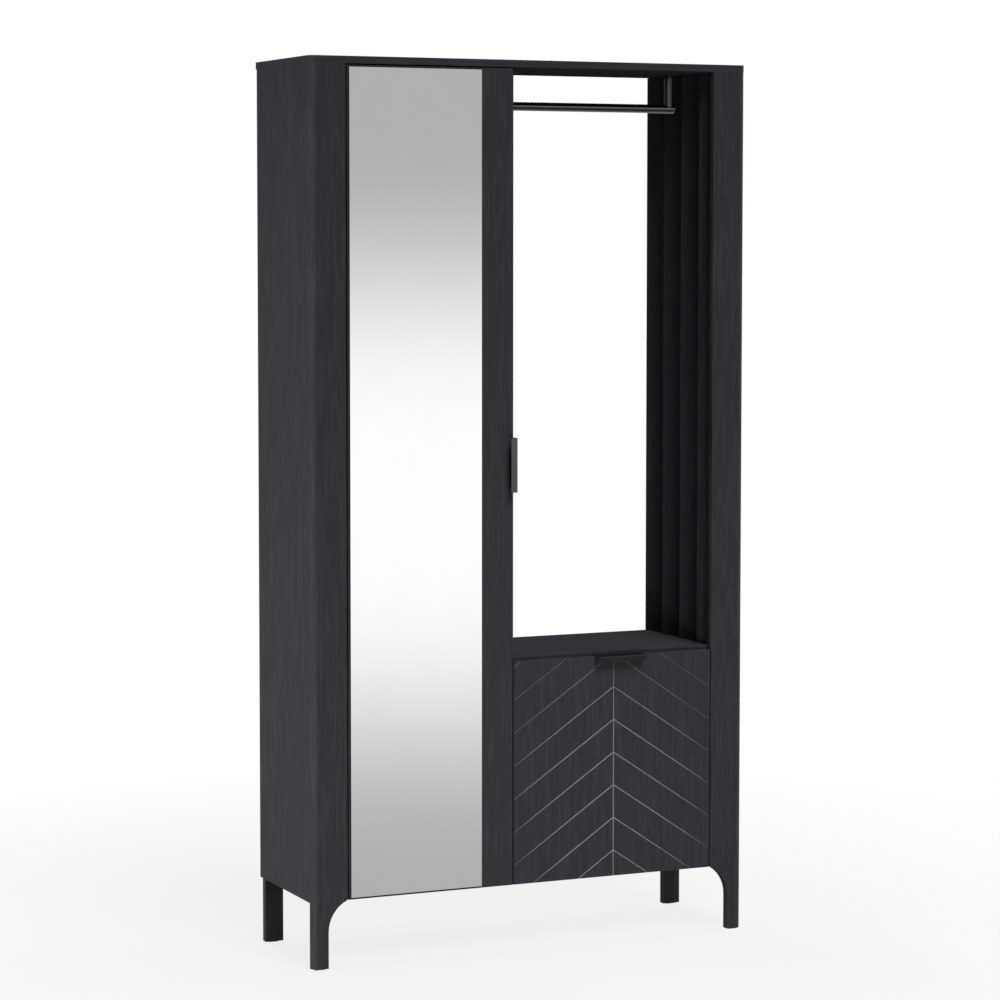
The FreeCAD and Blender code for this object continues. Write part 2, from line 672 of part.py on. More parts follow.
def edge_handle(label, turned):
    """A pull of bent plate: a flange let into the back, a leg along the edge, and a lip folded back in front.

    The lip slants, so that its free edge is nearer to the board than the bend is. The bend's rounding
    takes a little off the nose, and the leg is that much longer, so that the pull stands handle_proud.
    The free edge is eased on the side that the hand meets.
    """
    length = "handle_length"
    proud = sheet.get("handle_proud")
    plate = sheet.get("handle_plate")
    slant = math.radians(sheet.get("handle_slant"))
    bend_x = plate - plate * math.sin(slant)
    free_x = bend_x - sheet.get("handle_lip") * math.cos(slant)
    nose = "(-handle_proud - handle_corner * (sin(handle_slant) + cos(handle_slant) - 1))"
    leg_end = "(%s + handle_plate * cos(handle_slant))" % nose
    body = doc.addObject("PartDesign::Body", label + "_bent")
    body_box(body, "AdditiveBox", label + "_leg", "0", leg_end, "0", "handle_plate",
             "front_thickness - " + leg_end, length)
    lip = body_box(body, "AdditiveBox", label + "_lip",
                   "handle_plate - handle_plate * sin(handle_slant) - handle_lip * cos(handle_slant)",
                   nose + " + handle_lip * sin(handle_slant)", "0", "handle_lip", "handle_plate", length)
    lip.setExpression("Placement.Rotation.Angle", ex("-handle_slant"))
    body_box(body, "AdditiveBox", label + "_flange", "-handle_flange", "front_thickness - handle_plate", "0",
             "handle_flange + handle_plate", "handle_plate", length)
    round_edges(body, label + "_bend", "handle_corner",
                lambda a, b: near(a.x, bend_x) and near(b.x, bend_x) and max(a.y, b.y) < -proud / 2)
    round_edges(body, label + "_lip_edge", "handle_edge_round",
                lambda a, b: near(a.x, free_x) and near(b.x, free_x))
    if turned:
        body.Placement.Rotation = FreeCAD.Rotation(FreeCAD.Vector(0, 1, 0), -90)
        place(body, FLAP_HANDLE_MIDDLE + " + handle_length / 2", FRONT, FLAP_TOP)
    else:
        place(body, DOOR_RIGHT, FRONT, "door_handle_height - handle_length / 2")
    screws = []
    holes = []
    for number, sign in enumerate(("+", "-")):
        along = "%s handle_screw_pitch / 2" % sign
        x = FLAP_HANDLE_MIDDLE + " " + along if turned else DOOR_RIGHT + " - handle_flange / 2"
        z = FLAP_TOP + " - handle_flange / 2" if turned else "door_handle_height " + along
        screws.append(screw("%s_screw_%d" % (label, number), x, FRONTS_BACK, z))
        holes.append((x, FRONTS_BACK, z))
    flange_holes = [screw_hole("%s_hole_%d" % (label, number), *spot) for number, spot in enumerate(holes)]
    node(cut(label, body, flange_holes), label)
    node(group(label + "_screws", screws), label + "_screws")
    return holes


def door():
    """The door with its glued-on mirror, handle and hinge cups."""
    handle_holes = edge_handle("door_handle", False)
    width = "%s - %s" % (DOOR_RIGHT, DOOR_LEFT)
    height = "%s - front_bottom" % DOOR_TOP
    blank = box("door_blank", DOOR_LEFT, FRONT, "front_bottom", width, "front_thickness", height)
    tools = [box("door_rebate", DOOR_RIGHT + " - handle_flange", FRONTS_BACK + " - handle_plate",
                 "door_handle_height - handle_length / 2", "handle_flange", "handle_plate", "handle_length")]
    tools += [screw_hole("door_handle_pilot_%d" % n, *spot) for n, spot in enumerate(handle_holes)]
    for number in range(HINGES):
        z = hinge_height(number)
        tools.append(cylinder("cup_bore_%d" % number, "y", CUP_X, FRONTS_BACK + " - cup_depth", z, "cup_radius",
                              "cup_depth"))
        for name, sign in (("upper", "+"), ("lower", "-")):
            tools.append(screw_hole("cup_pilot_%d_%s" % (number, name), CUP_X, FRONTS_BACK + " + cup_flange",
                                    "%s %s cup_screw_pitch / 2" % (z, sign)))
    node(cut("door_panel", blank, tools), "door_panel")
    mirror = box("mirror_glass", DOOR_LEFT + " + mirror_margin", FRONT + " - mirror_thickness",
                 "front_bottom + mirror_margin", width + " - mirror_margin - mirror_strip", "mirror_thickness",
                 height + " - 2 * mirror_margin")
    node(mirror, "mirror_glass")
    strike = box("strike_plate", DIVIDER_LEFT + " - catch_width", FRONTS_BACK, CATCH_LOW, "catch_width",
                 "strike_thickness", "catch_length")
    node(strike, "strike_plate")
    x = "(%s + %s) / 2" % (DIVIDER_LEFT, DOOR_RIGHT)
    bumpers = []
    for name, z in (("upper", DOOR_TOP + " - bumper_inset"), ("lower", "front_bottom + bumper_inset")):
        bumpers.append(cylinder("door_bumper_" + name, "y", x, FRONTS_BACK, z, "bumper_radius", "bumper_height"))
    node(group("door_bumpers", bumpers), "door_bumpers")


def magnet_catch():
    catch = box("magnet_catch", DIVIDER_LEFT + " - catch_width",
                FRONTS_BACK + " + strike_thickness + rest_gap", CATCH_LOW, "catch_width", "catch_depth",
                "catch_length")
    node(catch, "magnet_catch")


def hinges():
    """Four concealed hinges: the cup and its pin ride in the door, and the bent arm reaches in from the post.

    The arm leaves the cup at a slant, so that the cup can turn about the pin from shut to wide open.
    """
    cups = []
    cup_screws = []
    pins = []
    arms = []
    plate_screws = []
    for number in range(HINGES):
        z = hinge_height(number)
        back = FRONTS_BACK
        outside = cylinder("cup_%d_outside" % number, "y", CUP_X, back + " - cup_depth", z,
                           "cup_radius - fit_gap", "cup_depth")
        flange = box("cup_%d_flange" % number, CUP_X + " - cup_flange_width / 2", back,
                     z + " - cup_flange_height / 2", "cup_flange_width", "cup_flange", "cup_flange_height")
        hollow = cylinder("cup_%d_hollow" % number, "y", CUP_X, back + " - cup_depth + cup_floor", z,
                          "cup_radius - cup_wall", "cup_depth - cup_floor + cup_flange")
        pin_bore = cylinder("cup_%d_pin_bore" % number, "z", PIVOT_X, PIVOT_Y,
                            z + " - hinge_pin_length / 2 - fit_gap", "hinge_pin_radius + fit_gap",
                            "hinge_pin_length + 2 * fit_gap")
        tools = [fuse("cup_%d_inside" % number, [hollow, pin_bore])]
        for name, sign in (("upper", "+"), ("lower", "-")):
            height = "%s %s cup_screw_pitch / 2" % (z, sign)
            tools.append(screw_hole("cup_%d_%s_hole" % (number, name), CUP_X, back + " + cup_flange", height))
            cup_screws.append(screw("cup_%d_%s_screw" % (number, name), CUP_X, back + " + cup_flange", height))
        cups.append(cut("cup_%d" % number, fuse("cup_%d_solid" % number, [outside, flange]), tools))
        pins.append(cylinder("hinge_pin_%d" % number, "z", PIVOT_X, PIVOT_Y, z + " - hinge_pin_length / 2",
                             "hinge_pin_radius", "hinge_pin_length"))

        low = z + " - arm_height / 2"
        plate = box("arm_%d_plate" % number, PIVOT_X + " - plate_far", POST_BACK, z + " - plate_height / 2",
                    "plate_far - plate_near", "plate_thickness", "plate_height")
        bar_y = PIVOT_Y + " + arm_bar_start"
        block = box("arm_%d_block" % number, PIVOT_X + " - arm_block_far", POST_BACK, low,
                    "arm_block_far - arm_block_near", "%s + arm_thickness - %s" % (bar_y, POST_BACK), "arm_height")
        bar = box("arm_%d_bar" % number, PIVOT_X + " - arm_block_near", bar_y, low, "arm_block_near + arm_tip",
                  "arm_thickness", "arm_height")
        drop = box("arm_%d_drop" % number, PIVOT_X + " + arm_tip - arm_thickness", PIVOT_Y + " + arm_drop_start",
                   low, "arm_thickness", "arm_bar_start - arm_drop_start", "arm_height")
        leg = box("arm_%d_leg" % number, PIVOT_X + " + arm_thickness / 2 * sin(arm_angle)",
                  PIVOT_Y + " - arm_thickness / 2 * cos(arm_angle)", low,
                  "arm_tip / cos(arm_angle) - arm_thickness / 2", "arm_thickness", "arm_height")
        leg.setExpression("Placement.Rotation.Angle", ex("arm_angle"))
        knuckle = cylinder("arm_%d_knuckle" % number, "z", PIVOT_X, PIVOT_Y, low, "knuckle_radius", "arm_height")
        bore = cylinder("arm_%d_bore" % number, "z", PIVOT_X, PIVOT_Y, low, "hinge_pin_radius + running_gap",
                        "arm_height")
        tools = [bore]
        for name, sign in (("upper", "+"), ("lower", "-")):
            height = "%s %s plate_screw_pitch / 2" % (z, sign)
            seat = POST_BACK + " + plate_thickness"
            tools.append(screw_hole("arm_%d_%s_hole" % (number, name), PLATE_SCREW, seat, height))
            plate_screws.append(screw("arm_%d_%s_screw" % (number, name), PLATE_SCREW, seat, height))
        solid = fuse("arm_%d_solid" % number, [plate, block, bar, drop, leg, knuckle])
        arms.append(cut("arm_%d" % number, solid, tools))
    node(group("hinge_cups", cups), "hinge_cups")
    node(group("hinge_cup_screws", cup_screws), "hinge_cup_screws")
    node(group("hinge_pins", pins), "hinge_pins")
    node(group("hinge_arms", arms), "hinge_arms")
    node(group("hinge_plate_screws", plate_screws), "hinge_plate_screws")


def flap():
    """The flap with a centre groove and slanted grooves that meet on it, its handle and its bumpers."""
    handle_holes = edge_handle("flap_handle", True)
    width = "(%s - %s)" % (FLAP_RIGHT, FLAP_LEFT)
    blank = box("flap_blank", FLAP_LEFT, FRONT, "front_bottom", width, "front_thickness",
                FLAP_TOP + " - front_bottom")
    rebate = box("flap_rebate", FLAP_HANDLE_MIDDLE + " - handle_length / 2", FRONTS_BACK + " - handle_plate",
                 FLAP_TOP + " - handle_flange", "handle_length", "handle_plate", "handle_flange")
    pilots = [screw_hole("flap_handle_pilot_%d" % n, *spot) for n, spot in enumerate(handle_holes)]
    drilled = cut("flap_drilled", blank, [rebate] + pilots)

    def groove(name, turn, z, length):
        """A square bar that lies on its edge along the groove, half sunk into the face."""
        bar = doc.addObject("Part::Prism", name)
        bar.Polygon = 4
        bar.Placement.Rotation = turn
        bind(bar, {"Circumradius": "groove_depth", "Height": length})
        return place(bar, FLAP_MIDDLE + " + chevron_offset", FRONT, z)

    height = sheet.get("niche_floor") - sheet.get("flap_drop") - sheet.get("front_bottom")
    half = (sheet.get("carcass_width") / 2 - sheet.get("post_width")) - sheet.get("wardrobe_width") / 2
    rise = half * math.tan(math.radians(sheet.get("groove_angle")))
    above = math.floor(rise / sheet.get("groove_pitch"))
    below = math.floor(height / sheet.get("groove_pitch"))
    tilt = 90 + sheet.get("groove_angle")
    upright = FreeCAD.Rotation(FreeCAD.Vector(0, 0, 1), 90)
    bars = [groove("groove_middle", upright, "front_bottom", FLAP_TOP + " - front_bottom")]
    length = "(%s / 2 + chevron_offset) / cos(groove_angle)" % width
    for number in range(-above, below + 1):
        z = "niche_floor - chevron_drop - groove_pitch * %d" % number
        for side, sign in (("left", -1), ("right", 1)):
            turn = FreeCAD.Rotation(FreeCAD.Vector(0, 1, 0), sign * tilt).multiply(upright)
            bars.append(groove("groove_%s_%d" % (side, number + above), turn, z, length))
    node(cut("flap_panel", drilled, [fuse("flap_grooves", bars)]), "flap_panel")

    bumpers = []
    z = "(%s + %s) / 2" % (SHELF_UNDER, FLAP_TOP)
    for name, x in (("left", FLAP_LEFT + " + bumper_inset"), ("right", FLAP_RIGHT + " - bumper_inset")):
        bumpers.append(cylinder("flap_bumper_" + name, "y", x, FRONTS_BACK, z, "bumper_radius", "bumper_height"))
    node(group("flap_bumpers", bumpers), "flap_bumpers")


FLAP_PIVOT_Y = "(%s + pivot_setback)" % FRONT
STOP_ANGLE = "(slot_start_angle + slot_sweep_angle)"
STOP_Y = "(%s + slot_radius * cos(%s))" % (FLAP_PIVOT_Y, STOP_ANGLE)
STOP_Z = "(pivot_height + slot_radius * sin(%s))" % STOP_ANGLE
NOTCH_LEFT = "(%s - swing_gap)" % FLAP_LEFT
NOTCH_RIGHT = "(%s + swing_gap)" % FLAP_RIGHT
CHEEKS = {
    "left": "(%s + rack_side_gap)" % DIVIDER_RIGHT,
    "right": "(%s - rack_side_gap - rack_board)" % POST_EDGE,
}


def bush_bores():
    """Seats of the pivot bushes, in the two ends of the bottom panel's notch."""
    radius = "pivot_radius + bush_wall + fit_gap"
    return [
        cylinder("left_bush_bore", "x", NOTCH_LEFT + " - pivot_depth", FLAP_PIVOT_Y, "pivot_height", radius,
                 "pivot_depth"),
        cylinder("right_bush_bore", "x", NOTCH_RIGHT, FLAP_PIVOT_Y, "pivot_height", radius, "pivot_depth"),
    ]


def curved_slot(name, x):
    """A slot round the pivot, as long as the flap's travel, with round ends."""
    facing = FreeCAD.Rotation(FreeCAD.Vector(1, 1, 1), 120)
    turn = FreeCAD.Rotation(FreeCAD.Vector(1, 0, 0), sheet.get("slot_start_angle")).multiply(facing)
    sectors = []
    for part, radius in (("outer", "slot_radius + slot_half_width"), ("inner", "slot_radius - slot_half_width")):
        sector = cylinder("%s_%s" % (name, part), "x", x, FLAP_PIVOT_Y, "pivot_height", radius, "rack_board")
        sector.Placement.Rotation = turn
        sector.setExpression("Angle", ex("slot_sweep_angle"))
        sectors.append(sector)
    solids = [cut(name + "_ring", sectors[0], [sectors[1]])]
    for part, angle in (("low", "slot_start_angle"), ("high", STOP_ANGLE)):
        solids.append(cylinder("%s_%s_end" % (name, part), "x", x,
                               "%s + slot_radius * cos(%s)" % (FLAP_PIVOT_Y, angle),
                               "pivot_height + slot_radius * sin(%s)" % angle, "slot_half_width", "rack_board"))
    return fuse(name, solids)


def shoe_rack():
    """The rack behind the flap turns with it on two pins; fixed pins in curved slots end its travel."""
    deep = "(%s + rack_depth)" % FRONTS_BACK
    low = "(%s + rack_floor_gap)" % FLOOR
    tier_x = "(%s + rack_board)" % CHEEKS["left"]
    tier_width = "(%s - %s)" % (CHEEKS["right"], tier_x)
    for side, x in CHEEKS.items():
        name = side + "_rack_cheek"
        board = box(name + "_board", x, FRONTS_BACK, low, "rack_board", "rack_depth", "rack_height")
        ear = box(name + "_ear", x, FRONTS_BACK, "pivot_height - ear_drop", "rack_board", "ear_depth",
                  "%s - pivot_height + ear_drop" % low)
        slope = doc.addObject("Part::Wedge", name + "_slope")
        bind(slope, {"Xmin": "0", "Xmax": "rack_board", "X2min": "0", "X2max": "rack_board",
                     "Ymin": "0", "Ymax": "rack_depth - rack_top_depth",
                     "Zmin": "rack_height - rack_tail_height", "Zmax": "rack_height",
                     "Z2min": "0", "Z2max": "rack_height"})
        place(slope, x, FRONTS_BACK + " + rack_top_depth", low + " + rack_tail_height")
        slot = curved_slot(name + "_slot", x)
        pin_hole = cylinder(name + "_pin_hole", "x", x, FLAP_PIVOT_Y, "pivot_height", "pivot_radius + fit_gap",
                            "rack_board")
        blank = fuse(name + "_blank", [board, ear])
        node(cut(name, blank, [slope, slot, pin_hole]), name)

    lower = "pivot_height + lower_tier_rise"
    upper = "pivot_height + upper_tier_rise"
    lower_depth = "rack_depth - tier_board"
    tiers = (("lower", lower, lower_depth), ("upper", upper, "upper_tier_depth"))
    for name, z, depth in tiers:
        board = box(name + "_tier_floor", tier_x, FRONTS_BACK, z, tier_width, depth, "tier_board")
        node(board, name + "_tier_floor")
        rail = box(name + "_tier_rail", tier_x, "%s + %s" % (FRONTS_BACK, depth), z, tier_width, "tier_board",
                   "tier_rail_height")
        node(rail, name + "_tier_rail")

    pins = []
    bushes = []
    stops = []
    ends = (
        ("left", NOTCH_LEFT + " - pivot_depth", tier_x, NOTCH_LEFT + " - pivot_depth",
         DIVIDER_RIGHT + " - pivot_depth", tier_x),
        ("right", CHEEKS["right"], NOTCH_RIGHT + " + pivot_depth", NOTCH_RIGHT,
         CHEEKS["right"], POST_EDGE + " + pivot_depth"),
    )
    for side, pin_from, pin_to, bush_from, stop_from, stop_to in ends:
        pins.append(cylinder(side + "_pivot_pin", "x", pin_from, FLAP_PIVOT_Y, "pivot_height", "pivot_radius",
                             "%s - (%s)" % (pin_to, pin_from)))
        ring = cylinder(side + "_bush_ring", "x", bush_from, FLAP_PIVOT_Y, "pivot_height",
                        "pivot_radius + bush_wall", "pivot_depth")
        bore = cylinder(side + "_bush_bore_inside", "x", bush_from, FLAP_PIVOT_Y, "pivot_height",
                        "pivot_radius + running_gap", "pivot_depth")
        bushes.append(cut(side + "_pivot_bush", ring, [bore]))
        stops.append(cylinder(side + "_stop_pin", "x", stop_from, STOP_Y, STOP_Z, "stop_pin_radius",
                              "%s - (%s)" % (stop_to, stop_from)))
    node(group("flap_pivot_pins", pins), "flap_pivot_pins")
    node(group("flap_pivot_bushes", bushes), "flap_pivot_bushes")
    node(group("flap_stop_pins", stops), "flap_stop_pins")


front_posts()
carcass()
rear_legs_and_glides()
backs()
fluted_wall()
wardrobe_inside()
clothes_rail()
door()
magnet_catch()
hinges()
flap()
shoe_rack()
cam_fittings()
back_panel_nails()
doc.recompute()

failed = [thing.Name for thing in doc.Objects if "Invalid" in thing.State or "Error" in thing.State]
for thing in nodes:
    if thing.Shape.isNull() or not thing.Shape.isValid() or not thing.Shape.Solids:
        failed.append(thing.Label)
if failed:
    raise RuntimeError("these did not come out right: " + ", ".join(failed))

os.makedirs("parts", exist_ok=True)
for thing in nodes:
    thing.Shape.exportStep("parts/%s.step" % thing.Label)
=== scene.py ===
from math import radians

import bmesh
import bpy
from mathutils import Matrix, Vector


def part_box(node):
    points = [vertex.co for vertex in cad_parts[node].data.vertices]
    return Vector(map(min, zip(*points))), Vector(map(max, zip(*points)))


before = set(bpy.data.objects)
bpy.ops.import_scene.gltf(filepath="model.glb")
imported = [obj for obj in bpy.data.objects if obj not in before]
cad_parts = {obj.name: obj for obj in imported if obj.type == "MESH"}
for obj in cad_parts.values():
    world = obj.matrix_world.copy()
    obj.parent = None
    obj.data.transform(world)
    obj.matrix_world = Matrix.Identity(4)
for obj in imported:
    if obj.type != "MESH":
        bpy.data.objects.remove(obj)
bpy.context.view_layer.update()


# Side panels, divider and partition: upright 16 mm particle boards, pressed with a matt black
# foil that copies brushed ash. Cut to size, edged with the same foil, joined by cam fittings.

MM = 0.001


def linear(hex_colour):
    """An sRGB hex colour as the linear colour that a shader takes."""
    shares = [int(hex_colour[place:place + 2], 16) / 255 for place in (1, 3, 5)]
    curve = [s / 12.92 if s <= 0.04045 else ((s + 0.055) / 1.055) ** 2.4 for s in shares]
    return (*curve, 1.0)


def add(tree, kind, inputs=None, stops=(), **settings):
    """Adds one node. Inputs are values or sockets to link, stops are the colours of a ramp. A colour
    mix takes its share at input 0 and its two colours at 6 and 7, and gives its result at output 2."""
    node = tree.nodes.new(kind)
    for name, value in settings.items():
        setattr(node, name, value)
    for socket, value in (inputs or {}).items():
        if isinstance(value, bpy.types.NodeSocket):
            tree.links.new(value, node.inputs[socket])
        else:
            node.inputs[socket].default_value = value
    for number, (place, colour) in enumerate(stops):
        while len(node.color_ramp.elements) <= number:
            node.color_ramp.elements.new(1.0)
        node.color_ramp.elements[number].position = place
        node.color_ramp.elements[number].color = colour
    return node


def new_material(name):
    """An empty material, its node tree and its Principled shader."""
    material = bpy.data.materials.new(name)
    material.use_nodes = True
    return material, material.node_tree, material.node_tree.nodes["Principled BSDF"]


def dress(material, *nodes):
    """Gives a material to whole CAD nodes."""
    for name in nodes:
        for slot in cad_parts[name].material_slots:
            slot.material = material


def black_ash(name, grain_turn, shift):
    """Ash foil, dead matt: grey-black with no shine at all, only ring lines, fibres and short open
    pores that break the light a little. grain_turn lays the upright grain along another axis, shift
    is the place in the sheet that the board was cut from. Fibres are drawn 2.7 mm and pores 1.3 mm
    wide, about three times too wide, because finer ones would not show."""
    ring_pitch, ring_run = 26 * MM, 420 * MM
    fibre_pitch, fibre_run = 2.7 * MM, 110 * MM
    pore_width, pore_length = 1.3 * MM, 22 * MM
    pore_depth = 0.25 * MM
    ring_waves = 34.0
    ring_weight, pore_weight = 0.28, -0.22
    material, tree, coat = new_material("black_ash_foil_" + name)
    place = add(tree, "ShaderNodeTexCoord").outputs["Object"]
    laid = add(tree, "ShaderNodeMapping", {"Vector": place, "Rotation": grain_turn, "Location": shift})
    patterns = []
    for across, along, detail in ((ring_pitch, ring_run, 1.0),
                                  (fibre_pitch, fibre_run, 3.0),
                                  (pore_width, pore_length, 0.0)):
        stretch = add(tree, "ShaderNodeMapping", {
            "Vector": laid.outputs[0], "Scale": (1 / across, 1 / across, 1 / along)})
        noise = add(tree, "ShaderNodeTexNoise", {
            "Vector": stretch.outputs[0], "Scale": 1.0, "Detail": detail, "Roughness": 0.55})
        patterns.append(noise.outputs[0])
    swell, fibre, speckle = patterns
    rings = add(tree, "ShaderNodeMath", {0: swell, 1: ring_waves}, operation="MULTIPLY")
    ring_wave = add(tree, "ShaderNodeMath", {0: rings.outputs[0]}, operation="SINE")
    ring_line = add(tree, "ShaderNodeMapRange", {
        "Value": ring_wave.outputs[0], "From Min": 0.2, "From Max": 1.0, "To Min": 0.0, "To Max": 1.0})
    pore = add(tree, "ShaderNodeMapRange", {
        "Value": speckle, "From Min": 0.60, "From Max": 0.70, "To Min": 0.0, "To Max": 1.0})
    fibre_tone = add(tree, "ShaderNodeMapRange", {
        "Value": fibre, "From Min": 0.3, "From Max": 0.7, "To Min": 0.21, "To Max": 0.52})
    tone = add(tree, "ShaderNodeMath", {
        0: ring_line.outputs[0], 1: ring_weight, 2: fibre_tone.outputs[0]}, operation="MULTIPLY_ADD")
    pored_tone = add(tree, "ShaderNodeMath", {
        0: pore.outputs[0], 1: pore_weight, 2: tone.outputs[0]}, operation="MULTIPLY_ADD")
    colour = add(tree, "ShaderNodeValToRGB", {"Fac": pored_tone.outputs[0]},
                 [(0.0, linear("#28282a")), (0.45, linear("#303032")), (1.0, linear("#373739"))])
    relief = add(tree, "ShaderNodeBump", {
        "Height": pored_tone.outputs[0], "Strength": 0.2, "Distance": pore_depth})
    tree.links.new(colour.outputs[0], coat.inputs["Base Color"])
    tree.links.new(relief.outputs[0], coat.inputs["Normal"])
    coat.inputs["Roughness"].default_value = 0.8
    coat.inputs["Specular IOR Level"].default_value = 0.0
    return material


UPRIGHT = (0, 0, 0)

for number, board in enumerate(("left_side_panel", "right_side_panel",
                                "middle_divider", "lower_partition")):
    dress(black_ash(board, UPRIGHT, (0.31 * number, 0.17, 0.4 * number)), board)


# Top and bottom panels and the shelves: the same boards lying flat, grain from side to side.
# The top covers the sides and posts and has rounded front corners.

ACROSS = (0, radians(90), 0)

for number, board in enumerate(("top_panel", "bottom_panel", "niche_shelf",
                                "lower_wardrobe_shelf", "upper_wardrobe_shelf")):
    dress(black_ash(board, ACROSS, (0.23 * number, 2.1, 0.35 * number)), board)


# Front posts and rear legs: thick upright boards. Each post is milled to a leg with an arc below
# and rounded along its outer front edge, the rear legs are square.

for number, board in enumerate(("left_post", "right_post", "left_rear_leg", "right_rear_leg")):
    dress(black_ash(board, UPRIGHT, (0.27 * number, 3.3, 0.45 * number)), board)


# Fluted panel: the niche's right wall, milled into upright flutes and wrapped in the same foil.
# It hangs on two planed softwood battens. The boards at this end stay out of mirrored light, so
# that the rail close beside them shows the studio along its whole length.

dress(black_ash("fluted_panel", UPRIGHT, (0.6, 4.6, 0.2)), "fluted_panel")
for board in ("fluted_panel", "fluted_panel_battens", "right_side_panel", "right_post"):
    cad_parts[board].visible_glossy = False

# Planed spruce: pale yellow with brown growth rings, drawn out along the batten and just raised.
softwood, tree, wood = new_material("planed_spruce")
ring_pitch, ring_run = 9 * MM, 300 * MM
ring_waves = 40.0
ring_height = 0.2 * MM
place = add(tree, "ShaderNodeTexCoord").outputs["Object"]
stretch = add(tree, "ShaderNodeMapping", {
    "Vector": place, "Scale": (1 / ring_pitch, 1 / ring_pitch, 1 / ring_run)})
swell = add(tree, "ShaderNodeTexNoise", {"Vector": stretch.outputs[0], "Scale": 1.0, "Detail": 2.0})
rings = add(tree, "ShaderNodeMath", {0: swell.outputs[0], 1: ring_waves}, operation="MULTIPLY")
ring_wave = add(tree, "ShaderNodeMath", {0: rings.outputs[0]}, operation="SINE")
colour = add(tree, "ShaderNodeValToRGB", {"Fac": ring_wave.outputs[0]},
             [(0.0, linear("#d9bd8e")), (0.7, linear("#cda873")), (1.0, linear("#a9793f"))])
relief = add(tree, "ShaderNodeBump", {
    "Height": ring_wave.outputs[0], "Strength": 0.3, "Distance": ring_height})
tree.links.new(colour.outputs[0], wood.inputs["Base Color"])
tree.links.new(relief.outputs[0], wood.inputs["Normal"])
wood.inputs["Roughness"].default_value = 0.7
dress(softwood, "fluted_panel_battens")


# Backs of the wardrobe and the shoe cabinet: 3 mm hardboard, black lacquer inside, bare brown
# fibre with the press screen's weave outside. Nailed to the panels' rear edges.

def hardboard(name, lacquered_below):
    """Hardboard: brown felted fibre, dull, with the press screen's weave on the bare face, drawn 3 mm
    wide where the real one is 1.8 mm, because that would not show. The smooth face has a thin black
    lacquer. lacquered_below is the depth where the bare face starts."""
    screen_pitch, screen_depth = 3.0 * MM, 0.3 * MM
    fibre_width, cloud_width = 4 * MM, 160 * MM
    band_width_at_scale_one = 0.3142
    material, tree, board = new_material("hardboard_" + name)
    place = add(tree, "ShaderNodeTexCoord").outputs["Object"]
    depth = add(tree, "ShaderNodeSeparateXYZ", {0: place}).outputs["Y"]
    lacquer = add(tree, "ShaderNodeMath", {0: depth, 1: lacquered_below}, operation="LESS_THAN")
    fibre = add(tree, "ShaderNodeTexNoise", {
        "Vector": place, "Scale": 1 / fibre_width, "Detail": 5.0, "Roughness": 0.7})
    cloud = add(tree, "ShaderNodeTexNoise", {"Vector": place, "Scale": 1 / cloud_width, "Detail": 2.0})
    fleck = add(tree, "ShaderNodeMath", {
        0: cloud.outputs[0], 1: 0.5, 2: fibre.outputs[0]}, operation="MULTIPLY_ADD")
    bare = add(tree, "ShaderNodeValToRGB", {"Fac": fleck.outputs[0]},
               [(0.45, linear("#59402a")), (0.75, linear("#7a5a3b")), (1.0, linear("#93714c"))])
    painted = add(tree, "ShaderNodeValToRGB", {"Fac": fleck.outputs[0]},
                  [(0.4, linear("#1b1b1d")), (1.0, linear("#262628"))])
    colour = add(tree, "ShaderNodeMix", {
        0: lacquer.outputs[0], 6: bare.outputs[0], 7: painted.outputs[0]}, data_type="RGBA")
    weave = []
    for axis in ("X", "Z"):
        bands = add(tree, "ShaderNodeTexWave", {
            "Vector": place, "Scale": band_width_at_scale_one / screen_pitch, "Distortion": 0.4},
            wave_type="BANDS", bands_direction=axis)
        weave.append(bands.outputs["Fac"])
    knots = add(tree, "ShaderNodeMath", {0: weave[0], 1: weave[1]}, operation="MULTIPLY")
    bare_share = add(tree, "ShaderNodeMath", {0: 1.0, 1: lacquer.outputs[0]}, operation="SUBTRACT")
    pressed = add(tree, "ShaderNodeMath", {
        0: knots.outputs[0], 1: bare_share.outputs[0], 2: fibre.outputs[0]}, operation="MULTIPLY_ADD")
    relief = add(tree, "ShaderNodeBump", {
        "Height": pressed.outputs[0], "Strength": 0.35, "Distance": screen_depth})
    tree.links.new(colour.outputs[2], board.inputs["Base Color"])
    tree.links.new(relief.outputs[0], board.inputs["Normal"])
    board.inputs["Roughness"].default_value = 0.75
    board.inputs["Specular IOR Level"].default_value = 0.3
    return material


for back in ("wardrobe_back", "shoe_cabinet_back"):
    low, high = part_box(back)
    dress(hardboard(back, (low.y + high.y) / 2), back)


# Nails, shelf pins and cam fittings: small bought-in fixings. Nails, pins and cam bolts are steel,
# nickel plated, and the cam discs are die-cast zinc. They sit in the boards, hammered, pushed in or
# screwed in.

